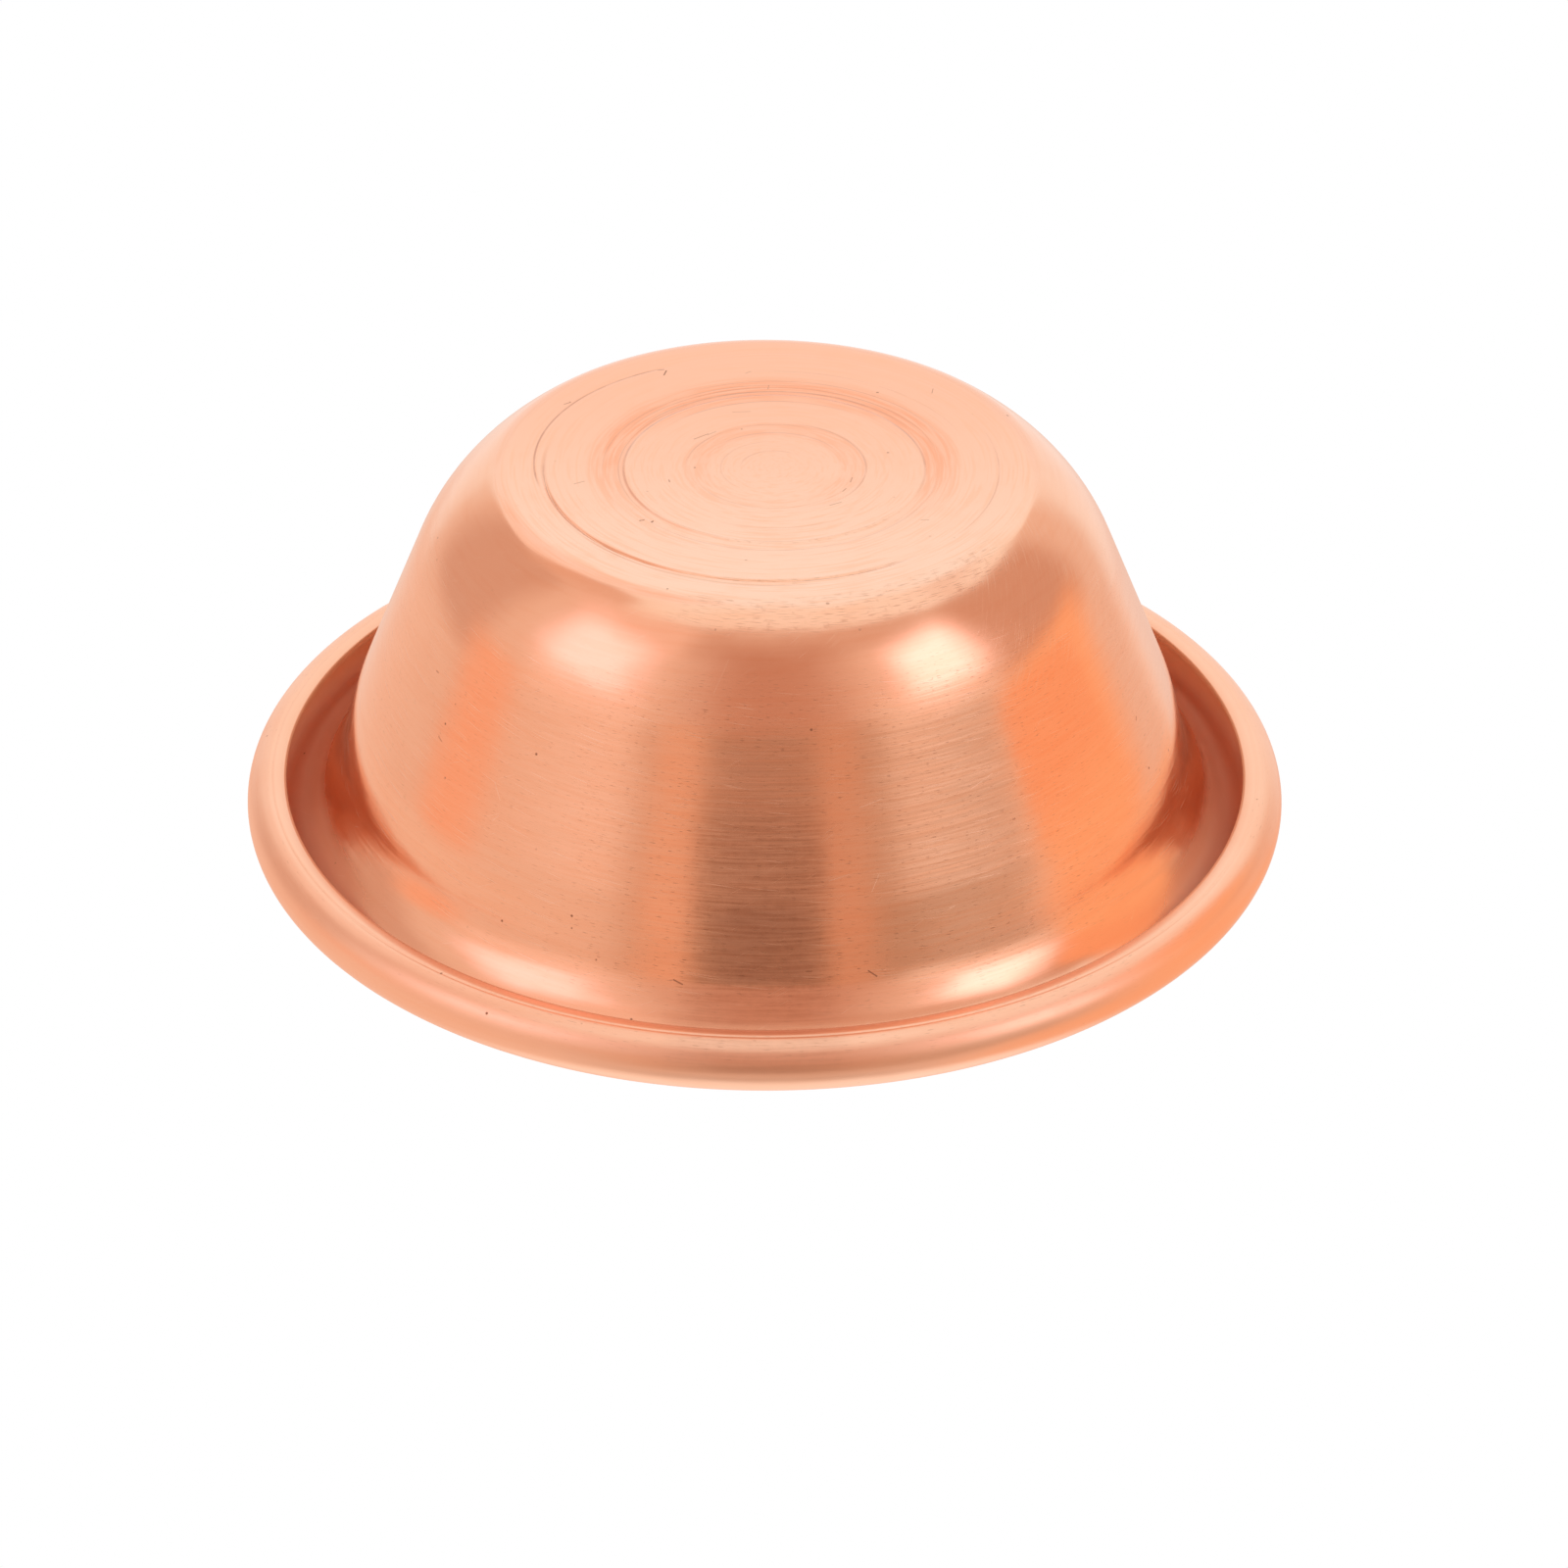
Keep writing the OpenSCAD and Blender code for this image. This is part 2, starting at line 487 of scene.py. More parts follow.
# Turning lines: pitch across them in millimetres, how fast they change round the bowl, detail and seed
FINE_LINES = (0.085, 3.0, 2.0, 0.0)
COARSE_LINES = (0.24, 2.2, 1.0, 40.0)
STREAKS = (0.11, 7.0, 2.0, 90.0)
WIDE_STREAKS = (0.34, 4.0, 3.0, 140.0)
BASE_LINES = (0.12, 3.6, 3.0, 20.0)

# Strewn scratches: slant in degrees, length and width of the noise's grain in millimetres, seed, and the
# values of the noise between which a scratch comes out
DASHES = (-3.0, 0.9, 0.045, 14.0, 0.56, 0.72)
LEVEL = (-7.0, 2.4, 0.050, 5.0, 0.69, 0.78)
SLANTED = (34.0, 1.6, 0.045, 31.0, 0.72, 0.80)
CROSSED = (50.0, 2.2, 0.060, 57.0, 0.60, 0.70)
FLECKS = (-3.0, 0.40, 0.050, 71.0, 0.66, 0.76)
# The surface is unrolled for them at this radius, and its radius counts by this share as height
UNROLLED_R = 18.0
RADIUS_SHARE = 0.5

# Specks of tarnish: their mean distance apart in millimetres, size as a share of it, and which of them show
SPECK_PITCH = 0.55
SPECK_SIZE = (0.16, 0.07)
SPECKS_SHOWN = (0.930, 0.940)

# Where things lie. A band is two heights or radii and the fade past them, and a span is where a mask comes
# in, in millimetres. A sector is the azimuth of its middle, its half width and the fade past it, in degrees.
WALL_BAND = (4.0, 15.5, 2.5)
WORN_SECTOR = (-78, 22, 34)
RIM_SPAN = (21.7, 22.5)
UNDERSIDE_SPAN = (1.4, 0.6)
SCUFF_BAND = (0.10, 0.75, 0.50)
SCUFF_SECTOR = (-70, 26, 18)
CROSSED_BAND = (0.6, 5.0, 1.4)
CROSSED_SECTOR = (-24, 16, 14)
# Where the painted shade of the camera side's dark reflection lies, on the wall straight in front
PAINTED_SHADE_BAND = (9.4, 15.8, 2.6)
PAINTED_SHADE_SECTOR = (-90.5, 7.5, 3.5)
# The channel, where shade and a dark reflection are painted: inside the curl by the distance from its middle,
# and under the brim at both sides
CURL_SPAN = (1.20, 1.10)
BRIM_HEIGHTS = (16.7, 17.5)
BRIM_RADII = (23.7, 23.5)
BRIM_SECTORS = ((170, 28, 20), (10, 28, 20))
# The rings of the underside, by the distance from the lathe's middle. The shade painted in them deepens away
# from the main camera, over a span that is measured from that middle towards the camera.
RING_INNER = (7.02, 7.16)
RING_OUTER = (9.2, 8.0)
RING_DEEPENS = (6.5, -3.5)
STEP_SPAN = (6.38, 6.52)
STEP_DEEPENS = (-2.0, -6.0)
SMALL_RING_BAND = (3.2, 4.2, 0.25)
# The underside's painted reflection, from its far edge to its near one
FAR_TO_NEAR = (-9.0, 11.5)
# The scored circle and the thin one: half width as a span, and sector
SCORED_SPAN = (0.13, 0.03)
SCORED_SECTOR = (-120, 40, 34)
THIN_SPAN = (0.07, 0.02)
THIN_SECTOR = (154, 30, 8)
# Marks on the wall show on their own side of the bowl only
OWN_SIDE = (2.0, 6.0)

# Masks made from noise: the values between which each comes in, and its least and greatest strength, where
# they aren't 0 and 1
PATCHY = (0.40, 0.62, 0.30, 1.0)
SCUFF_GRAIN = (0.56, 0.70, 0.0, 0.6)
FLECK_GRAIN = (0.36, 0.56, 0.3, 1.0)
SPECK_CLOUD = (0.48, 0.60)
RING_LINES = (0.38, 0.60, 0.35, 1.0)
SCORED_SMEAR = (0.34, 0.56, 0.35, 1.0)
# Streaks and grain that break up the painted shade on the wall in front
PAINTED_SHADE_STREAKS = (0.34, 0.66, 0.30, 1.0)
PAINTED_SHADE_GRAIN = (0.30, 0.70, 0.6, 1.0)
TONE_CLOUD = (0.30, 0.72, 0.0, 0.45)
TONE_STREAKS = (0.44, 0.62)
BANDS_STREAKS = (0.46, 0.66)
FLAT_LINES = (0.48, 0.64, 0.0, 0.42)
FLAT_SMEAR = (0.50, 0.72, 0.0, 0.25)
ROUGH_SMEAR = (0.45, 0.75)
# How far a face points outwards or upwards, for the masks that tell the sides of the sheet apart
FACING_OUT = (0.05, 0.30)
FACING_IN = (0.0, -0.2)
FACING_UP = (0.5, 0.8)
FACING_DOWN = (-0.80, -0.95)
# Nearer to an axis than this, in millimetres, the direction from it fades to nothing
NEAR_AXIS = 0.1

# Strengths of the wear in the patches, of the turning lines' bumps, and of the lines' and the bands' tone
WORN_PATCHES = 0.55
LINES_WORN = 0.75
LINES_PATCHY = 0.24
TONE_WORN = 0.60
TONE_WALL = 0.40
BANDS_PATCHY = 0.6
BANDS_LEAST = 0.4
# Strengths of the scratches, the flecks, the painted shade of the small ring and of the step, and the thin
# circle
SLANTED_SHARE = 0.6
CROSSED_SHARE = 0.55
BRIGHT_SHARE = 0.75
FLECK_SHARE = 0.60
SMALL_RING_SHARE = 0.45
STEP_SHARE = 0.6
THIN_SHARE = 0.8
# What is left of the rings' painted shade towards the main camera
RINGS_IN_FRONT = 0.06
# Heights of the bumps, when those of the fine lines are 1
COARSE_BUMP = 2.0
SMEAR_BUMP = 0.6
WAVES_BUMP = 4.5

# Single marks on the underside: across and up in the photograph, half length, slant and half width, in
# millimetres and degrees, and how dark the mark is
BASE_MARKS = (
    (-4.86, 9.12, 0.22, 76, 0.050, 0.95),
    (-5.08, 9.42, 0.16, 12, 0.040, 0.80),
    (-9.50, 6.05, 0.16, 35, 0.045, 0.65),
    (5.36, 7.24, 0.02, 0, 0.070, 0.75),
    (8.00, 7.40, 0.22, 82, 0.030, 0.60),
    (5.80, 1.34, 0.02, 0, 0.065, 0.75),
    (-4.50, -1.42, 0.10, 100, 0.045, 0.65),
    (-8.72, -1.62, 0.26, 28, 0.035, 0.55),
    (-5.72, -5.10, 0.10, 20, 0.055, 0.85),
    (-5.24, -5.20, 0.05, 60, 0.070, 0.90),
    (-1.15, 5.28, 0.42, 4, 0.035, 0.45),
    (-3.05, 2.86, 0.42, 38, 0.040, 0.60),
    (-2.55, 3.18, 0.24, 40, 0.035, 0.50),
    (0.12, 7.78, 0.20, 84, 0.028, 0.50),
    (-0.86, 9.20, 0.16, 40, 0.030, 0.45),
    (4.05, -1.25, 0.22, 78, 0.045, 0.50),
    (3.72, -2.20, 0.16, 60, 0.045, 0.45),
    (3.30, -3.55, 0.30, 30, 0.050, 0.40),
    (7.45, -5.02, 0.18, -4, 0.035, 0.50),
    (-0.85, -8.80, 0.03, 0, 0.060, 0.45),
    (2.90, -12.45, 0.03, 0, 0.080, 0.70),
)
# Fine circles on the underside, round the lathe's middle: radius and half width in millimetres, the azimuth
# of the line's middle in the photograph, how far it runs to each side, and how dark it is
BASE_CIRCLES = (
    (10.98, 0.030, 246, 34, 0.35),
    (10.60, 0.030, -8, 24, 0.35),
    (9.42, 0.025, 60, 34, 0.22),
    (8.46, 0.030, 70, 44, 0.35),
    (8.10, 0.025, 128, 50, 0.35),
    (7.86, 0.030, 82, 60, 0.45),
    (7.50, 0.045, 88, 48, 0.70),
    (7.34, 0.025, 160, 46, 0.40),
    (7.10, 0.040, 150, 70, 0.65),
    (7.12, 0.040, 30, 46, 0.60),
    (7.72, 0.025, -70, 60, 0.30),
    (6.98, 0.022, -95, 46, 0.26),
    (6.46, 0.030, 96, 34, 0.50),
    (5.70, 0.025, -88, 26, 0.25),
    (4.34, 0.035, 18, 52, 0.45),
    (4.18, 0.030, 118, 50, 0.40),
    (3.84, 0.030, -100, 60, 0.25),
    (3.40, 0.030, 84, 46, 0.35),
    (2.52, 0.025, 160, 60, 0.25),
    (1.60, 0.030, 110, 60, 0.30),
)
# How far aside a fine circle's colour fades, in its half widths, and how far round, in its reaches
CIRCLE_EDGE = (2.2, 0.4)
CIRCLE_ENDS = (1.3, 0.5)
# Single marks on the wall: azimuth in the photograph, height above the base, half length, slant and half
# width, and how dark the mark is. A bright scratch is below zero.
WALL_MARKS = (
    (-74.0, 7.98, 0.55, 12, 0.024, -0.8),
    (-56.0, 8.20, 0.65, 15, 0.024, -0.8),
    (-131.8, 9.54, 0.42, -48, 0.022, -0.7),
    (-131.0, 10.68, 0.20, 50, 0.026, -0.6),
    (-97.3, 2.48, 0.70, 66, 0.024, -0.4),
    (-74.5, 11.45, 0.40, 60, 0.022, -0.7),
    (-79.5, 11.03, 0.50, 12, 0.022, -0.6),
    (-64.0, 13.20, 0.12, 10, 0.050, -0.8),
    (-75.7, 15.60, 0.24, -38, 0.042, 0.90),
    (-84.0, 15.23, 0.12, 0, 0.055, 0.60),
    (-101.0, 15.87, 0.22, -20, 0.050, 0.75),
    (-94.0, 12.29, 0.26, 4, 0.038, 0.55),
    (-52.0, 10.31, 0.06, 0, 0.055, 0.65),
    (-20.0, 9.98, 0.08, 40, 0.055, 0.60),
    (-152.0, 6.50, 0.10, 0, 0.050, 0.50),
    (-146.0, 8.90, 0.16, -15, 0.045, 0.50),
)
# How much of a mark's width is full
MARK_CORE = 0.35


class BowlShader(Shader):
    """Nodes that follow the bowl's surface. Lengths are given in millimetres, and azimuths and places across
    and up are those of the photograph."""

    def __init__(self, tree):
        super().__init__(tree)
        self.place = self.node("ShaderNodeTexCoord").outputs["Object"]
        self.x, self.y, self.z = self.separate(self.place)
        self.axis = self.polar(0.0, 0.0)
        self.circles = self.polar(*LATHE_AT)
        self.radius = self.axis[2]
        self.radial = self.combine(self.axis[0], self.axis[1], 0.0)
        self.flat = self.times(self.math("ARCTAN2", self.y, self.x), UNROLLED_R * MM)
        self.rise = self.math("MULTIPLY_ADD", self.radius, RADIUS_SHARE, self.z)

        # Which side of the sheet it is, and which part
        normal = self.node("ShaderNodeNewGeometry").outputs["True Normal"]
        facing_out = self.dot(normal, self.radial)
        facing_up = self.separate(normal)[2]
        self.outside = self.ramp(facing_out, *FACING_OUT)
        self.within = self.most(self.ramp(facing_out, *FACING_IN), self.ramp(facing_up, *FACING_UP))
        self.on_base = self.times(self.ramp(facing_up, *FACING_DOWN), self.ramp_mm(self.z, UNDERSIDE_SPAN))
        self.on_wall = self.times(self.band(self.z, *WALL_BAND), self.outside)
        self.on_rim = self.ramp_mm(self.radius, RIM_SPAN)

        # Blotches, and where the turning lines are strong: on the wall, and most in front
        self.cloud = self.noise(self.place, *CLOUD)
        self.smear = self.noise(self.place, *SMEAR)
        self.grain = self.noise(self.place, *GRAIN)
        self.patchy = self.ramp(self.cloud, *PATCHY)
        worn_share = self.most(self.sector(*WORN_SECTOR), self.times(self.patchy, WORN_PATCHES))
        self.worn = self.times(self.on_wall, worn_share)

    def ramp_mm(self, value, span, low=0.0, high=1.0):
        start, end = span
        return self.ramp(value, start * MM, end * MM, low, high)

    def polar(self, across, up):
        """The direction and the distance from an upright axis through this place."""
        off_x = self.minus(self.x, across * MM)
        off_y = self.plus(self.y, up * MM)
        distance = self.length(off_x, off_y)
        safe = self.most(distance, NEAR_AXIS * MM)
        return self.over(off_x, safe), self.over(off_y, safe), distance

    def sector(self, azimuth, half, fade):
        """1 within half of this azimuth, and 0 a fade away outside it."""
        ahead = self.dot(self.radial, (*direction(-azimuth), 0.0))
        return self.ramp(ahead, math.cos(math.radians(half + fade)), math.cos(math.radians(half)))

    def band(self, value, start, end, fade):
        """1 between two lengths, and 0 a fade away outside them."""
        return self.times(self.ramp_mm(value, (start - fade, start)), self.ramp_mm(value, (end + fade, end)))

    def turning(self, circles, pitch, around, detail, seed):
        """Noise drawn out along the circles that the lathe turned."""
        across = self.plus(self.over(circles[2], pitch * MM), seed)
        vector = self.combine(self.times(circles[0], around), self.times(circles[1], around), across)
        return self.noise(vector, self.over(self.z, pitch * MM), 1.0, detail)

    def turned(self, along, rise, slant):
        """Two coordinates, turned by an angle."""
        cosine, sine = direction(slant)
        return (self.plus(self.times(along, cosine), self.times(rise, sine)),
                self.minus(self.times(rise, cosine), self.times(along, sine)))

    def scratch(self, slant, stretch, width, seed, start, end):
        """Strewn scratches: thin stretched noise over the unrolled surface."""
        along, aside = self.turned(self.flat, self.rise, slant)
        vector = self.combine(self.over(along, stretch * MM), self.over(aside, width * MM), seed)
        return self.ramp(self.noise(vector, seed, 1.0, 0.0), start, end)

    def stroke(self, along, rise, length, slant, width):
        """1 on a short stroke about the origin of two coordinates, with a soft edge."""
        along, aside = self.turned(along, rise, slant)
        past = self.most(self.minus(self.math("ABSOLUTE", along), length * MM), 0.0)
        return self.ramp_mm(self.length(past, aside), (width, MARK_CORE * width))


def channel_mask(s):
    """1 inside the curl, and under the brim at both sides: where the channel's shade and dark reflection are
    painted.
    """
    reach = s.length(s.minus(s.radius, curl_c[0]), s.minus(s.z, curl_c[1]))
    sides = s.most(*(s.sector(*sector) for sector in BRIM_SECTORS))
    under_brim = s.times(s.ramp_mm(s.z, BRIM_HEIGHTS), s.ramp_mm(s.radius, BRIM_RADII), s.outside, sides)
    return s.most(s.ramp_mm(reach, CURL_SPAN), under_brim)


def scuff_mask(s):
    """Small dashes low on the shoulder in front."""
    dashes = s.most(s.scratch(*DASHES), s.ramp(s.grain, *SCUFF_GRAIN))
    return s.times(s.band(s.z, *SCUFF_BAND), s.outside, s.sector(*SCUFF_SECTOR), dashes)


def bright_and_dark(s):
    """Masks of the bright scratches, and of the specks, flecks and other dark marks."""
    level = s.times(s.scratch(*LEVEL), s.on_wall)
    slanted = s.times(s.scratch(*SLANTED), s.outside)
    crossed = s.times(s.scratch(*CROSSED), s.sector(*CROSSED_SECTOR), s.band(s.z, *CROSSED_BAND), s.outside)
    bright = s.most(level, s.times(slanted, SLANTED_SHARE), s.times(crossed, CROSSED_SHARE))
    bright = s.times(bright, BRIGHT_SHARE)

    flecks = s.times(s.scratch(*FLECKS), s.worn, s.ramp(s.grain, *FLECK_GRAIN))
    cell = s.voronoi(s.place, 1.0 / (SPECK_PITCH * MM))
    picked = s.ramp(s.separate(cell["Color"])[0], *SPECKS_SHOWN)
    specks = s.times(s.ramp(cell["Distance"], *SPECK_SIZE), picked, s.ramp(s.cloud, *SPECK_CLOUD))
    dark = s.most(specks, s.times(flecks, FLECK_SHARE))

    for across, up, length, slant, width, strength in BASE_MARKS:
        along = s.minus(s.x, across * MM)
        back = s.minus(-up * MM, s.y)
        dark = s.most(dark, s.times(s.stroke(along, back, length, slant, width), s.on_base, strength))
    for azimuth, mark_z, length, slant, width, strength in WALL_MARKS:
        toward = direction(-azimuth)
        along = s.dot(s.place, (toward[1], -toward[0], 0.0))
        below = s.minus(mark_z * MM, s.z)
        own_side = s.ramp_mm(s.dot(s.place, (*toward, 0.0)), OWN_SIDE)
        mask = s.times(s.stroke(along, below, length, slant, width), own_side, s.outside, abs(strength))
        if strength > 0:
            dark = s.most(dark, mask)
        else:
            bright = s.most(bright, mask)
    return bright, dark


def ring_shade_mask(s, base_lines):
    """The lathe's rings on the underside, with shade painted in them, deepest at the back, away from the main
    camera.
    """
    distance = s.circles[2]
    nearer = s.times(s.circles[1], distance)
    at_back = s.ramp_mm(nearer, RING_DEEPENS, RINGS_IN_FRONT)
    step = s.times(s.ramp_mm(distance, STEP_SPAN), s.ramp_mm(nearer, STEP_DEEPENS), STEP_SHARE)
    inner_edge = s.most(s.ramp_mm(distance, RING_INNER), step)
    broad = s.times(inner_edge, s.ramp_mm(distance, RING_OUTER), at_back, s.on_base)
    small = s.times(s.band(distance, *SMALL_RING_BAND), at_back, s.on_base, SMALL_RING_SHARE)
    return s.times(s.most(broad, small), s.ramp(base_lines, *RING_LINES))


def scored_mask(s):
    """The scored circle, the thin one and the fine circles on the underside."""
    from_scored = s.math("ABSOLUTE", s.minus(s.polar(*GROOVE_AT)[2], GROOVE_R * MM))
    from_thin = s.math("ABSOLUTE", s.minus(s.polar(*THIN_AT)[2], THIN_R * MM))
    scored = s.most(s.times(s.ramp_mm(from_scored, SCORED_SPAN), s.sector(*SCORED_SECTOR)),
                    s.times(s.ramp_mm(from_thin, THIN_SPAN), s.sector(*THIN_SECTOR), THIN_SHARE))
    around = s.combine(s.circles[0], s.circles[1], 0.0)
    for circle_r, half_width, azimuth, reach, strength in BASE_CIRCLES:
        off = s.math("ABSOLUTE", s.minus(s.circles[2], circle_r * MM))
        ends = [math.cos(math.radians(reach * share)) for share in CIRCLE_ENDS]
        across = s.ramp_mm(off, [half_width * share for share in CIRCLE_EDGE])
        along = s.ramp(s.dot(around, (*direction(-azimuth), 0.0)), *ends)
        scored = s.most(scored, s.times(across, along, strength))
    return s.times(scored, s.on_base, s.ramp(s.smear, *SCORED_SMEAR))


def copper_material():
    material = new_material("spun_copper")
    s = BowlShader(material.node_tree)
    fine_lines = s.turning(s.axis, *FINE_LINES)
    coarse_lines = s.turning(s.axis, *COARSE_LINES)
    streaks = s.turning(s.axis, *STREAKS)
    wide_streaks = s.turning(s.axis, *WIDE_STREAKS)
    base_lines = s.turning(s.circles, *BASE_LINES)
    waves = s.noise(s.combine(s.x, s.y, s.times(s.z, WAVES_RISE)), *WAVES)
    line_strength = s.math("MULTIPLY_ADD", s.worn, LINES_WORN, s.times(s.patchy, LINES_PATCHY))
    channel = channel_mask(s)
    scuffs = scuff_mask(s)
    bright, dark = bright_and_dark(s)

    # Painted shade: a dark reflection of the camera side, laid into the turning lines of the wall in front;
    # and the tone of the lines all round
    painted_shade = s.times(s.sector(*PAINTED_SHADE_SECTOR), s.band(s.z, *PAINTED_SHADE_BAND), s.outside,
                    s.ramp(streaks, *PAINTED_SHADE_STREAKS), s.ramp(s.grain, *PAINTED_SHADE_GRAIN))
    lines_share = s.math("MULTIPLY_ADD", s.worn, TONE_WORN, s.times(s.on_wall, TONE_WALL))
    lines_tone = s.times(s.ramp(streaks, *TONE_STREAKS), lines_share)
    bands_share = s.math("MULTIPLY_ADD", s.patchy, BANDS_PATCHY, BANDS_LEAST)
    bands_tone = s.times(s.ramp(wide_streaks, *BANDS_STREAKS), bands_share, s.outside)

    tone = s.mix(s.ramp(s.cloud, *TONE_CLOUD), COPPER, COPPER_DEEP)
    # Painted reflection on the underside, paler towards the main camera and deeper away from it, with its
    # turning lines and smears
    flat_reflection_and_tone = s.mix(s.ramp_mm(s.y, FAR_TO_NEAR), COPPER_FAR_REFLECTION, COPPER_NEAR_REFLECTION)
    flat_reflection_and_tone = s.mix(s.ramp(base_lines, *FLAT_LINES), flat_reflection_and_tone, COPPER_DEEP)
    flat_reflection_and_tone = s.mix(s.ramp(s.smear, *FLAT_SMEAR), flat_reflection_and_tone, COPPER_DEEP)
    colour = s.mix(s.on_base, tone, flat_reflection_and_tone)
    for mask, share, tint in (
        # Painted shade in the rings, deepest away from the main camera
        (ring_shade_mask(s, base_lines), 1.0, COPPER_RING_SHADE),
        (scored_mask(s), 0.80, COPPER_SCORED),
        (lines_tone, 0.60, COPPER_DEEP),
        (bands_tone, 0.45, COPPER_DEEP),
        (scuffs, 0.38, SCUFF_AND_PAINTED_SHADE),
        # Painted shade: the camera side's dark reflection on the wall in front
        (painted_shade, 0.50, SCUFF_AND_PAINTED_SHADE),
        # Painted shade in the curl, and painted dark reflection under the brim at both sides
        (channel, 0.50, COPPER_CHANNEL_SHADE),
        # Painted sheen: the rim is paled towards worn copper, standing in for a brighter reflection
        (s.on_rim, 0.20, COPPER_WORN_AND_SHEEN),
        (bright, 1.0, COPPER_WORN_AND_SHEEN),
        (dark, 1.0, TARNISH),
    ):
        colour = s.mix(s.times(mask, share), colour, tint)

    roughness = ROUGHNESS
    for mask, extra in (
        (s.times(fine_lines, line_strength), 0.14),
        (s.ramp(s.smear, *ROUGH_SMEAR), 0.05),
        (s.on_rim, 0.20),
        (s.within, 0.10),
        (channel, 0.26),
        (s.most(dark, bright), 0.22),
        (scuffs, 0.10),
    ):
        roughness = s.math("MULTIPLY_ADD", mask, extra, roughness)

    height = s.times(s.plus(fine_lines, s.times(coarse_lines, COARSE_BUMP)), line_strength)
    for mask, strength in ((s.smear, SMEAR_BUMP), (s.times(waves, s.outside), WAVES_BUMP)):
        height = s.math("MULTIPLY_ADD", mask, strength, height)
    bump = s.node("ShaderNodeBump")
    bump.inputs["Strength"].default_value = 1.0
    bump.inputs["Distance"].default_value = BUMP * MM
    s.feed(bump.inputs["Height"], height)

    metal = s.node("ShaderNodeBsdfPrincipled")
    metal.inputs["Metallic"].default_value = 1.0
    s.feed(metal.inputs["Base Color"], colour)
    s.feed(metal.inputs["Roughness"], roughness)
    s.feed(metal.inputs["Normal"], bump.outputs["Normal"])
    s.surface(metal.outputs["BSDF"])
    return material


def make_bowl():
    vertices, faces = lathe()
    mesh = bpy.data.meshes.new("spun_bowl")
    mesh.from_pydata(vertices.tolist(), [], faces)
    mesh.validate()
    mesh.shade_smooth()
    mesh.materials.append(copper_material())
    bowl = bpy.data.objects.new("spun_bowl", mesh)
    bpy.context.scene.collection.objects.link(bowl)
    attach(bowl, "root")
    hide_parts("bowl")


# Studio

WHITE = (1.0, 1.0, 1.0)
# A round white panel lies under the bowl, behind it as the camera sees it: azimuth and elevation of its
# middle. The edge is where it fades, as the angle between a ray and the middle.
PANEL = (-86.0, -66.0)
PANEL_EDGE = (46.2, 45.0)
PANEL_LIGHT = (1.06, 1.03, 1.0)
# The light from everywhere else, from the sides and from high above, and the elevations at which it changes
SIDE_LIGHT = (0.90, 0.69, 0.59)
HIGH_LIGHT = (1.12, 1.08, 1.05)
HIGH_EDGE = (54.0, 62.0)
# Soft lamps and cards round the bowl, in the order in which they lie over each other: azimuth and elevation
# of the middle, half width and its fade, half height and its fade, all in degrees, and the light's colour.
# Azimuth 90 is towards the main camera and 0 at the right of its picture.
CARDS = {
    "shade, right": (-14, -28, 16, 12, 22, 10, (0.70, 0.43, 0.325)),
    "shade, left": (209, -22, 11, 14, 20, 10, (0.73, 0.50, 0.41)),
    "behind": (-88, -15, 30, 12, 28, 14, (1.03, 0.98, 0.95)),
    "below, camera side": (90, -62, 96, 14, 8, 8, (0.77, 0.53, 0.43)),
    "below, left": (155, -55, 22, 14, 6, 6, (0.98, 0.72, 0.62)),
    "camera side, right": (42, 1, 18, 16, 12, 10, (0.64, 0.48, 0.39)),
    "camera side, in shade": (88, -24, 8, 36, 30, 12, (0.61, 0.34, 0.25)),
    "camera side, level": (86, 6, 27, 22, 15, 9, (0.54, 0.365, 0.27)),
    "camera side, darkest": (90, 3, 10, 9, 9, 8, (0.38, 0.225, 0.165)),
    "camera side, above": (90, 48, 24, 30, 6, 8, (0.60, 0.48, 0.42)),
    "warm edge, right": (68, 1, 3.5, 5.5, 8, 17, (0.74, 0.42, 0.285)),
    "warm edge, left": (115, 1, 3, 8, 8, 17, (0.90, 0.54, 0.38)),
    "warm card, right": (-9, 8, 12, 18, 12, 9, (1.06, 0.58, 0.335)),
    "warm card, far right": (-8, 38, 40, 14, 16, 7, (1.02, 0.58, 0.36)),
    "warm card, left": (183, 0, 4, 13, 4, 11, (1.0, 0.58, 0.41)),
    "warm card, far left": (198, 38, 48, 18, 20, 10, (0.95, 0.71, 0.59)),
    "glow, right": (34, -15, 14, 12, 5, 8, (0.97, 0.80, 0.71)),
    "glow, left": (150, -16, 14, 12, 6, 8, (1.02, 0.79, 0.70)),
    "lamp, right": (27, -32, 6, 14, 7, 12, (2.1, 1.65, 1.80)),
    "lamp, left": (154, -35, 8, 18, 7, 12, (1.55, 1.25, 1.38)),
}
# Cards that lie over the panel: two at its left and one at its right
OVER_PANEL = (
    (222, -52, 16, 26, 16, 16, (1.05, 0.87, 0.80)),
    (190, -47, 17, 9, 13, 5, (0.86, 0.60, 0.49)),
    (-22, -52, 14, 9, 3, 6, (0.98, 0.88, 0.83)),
)


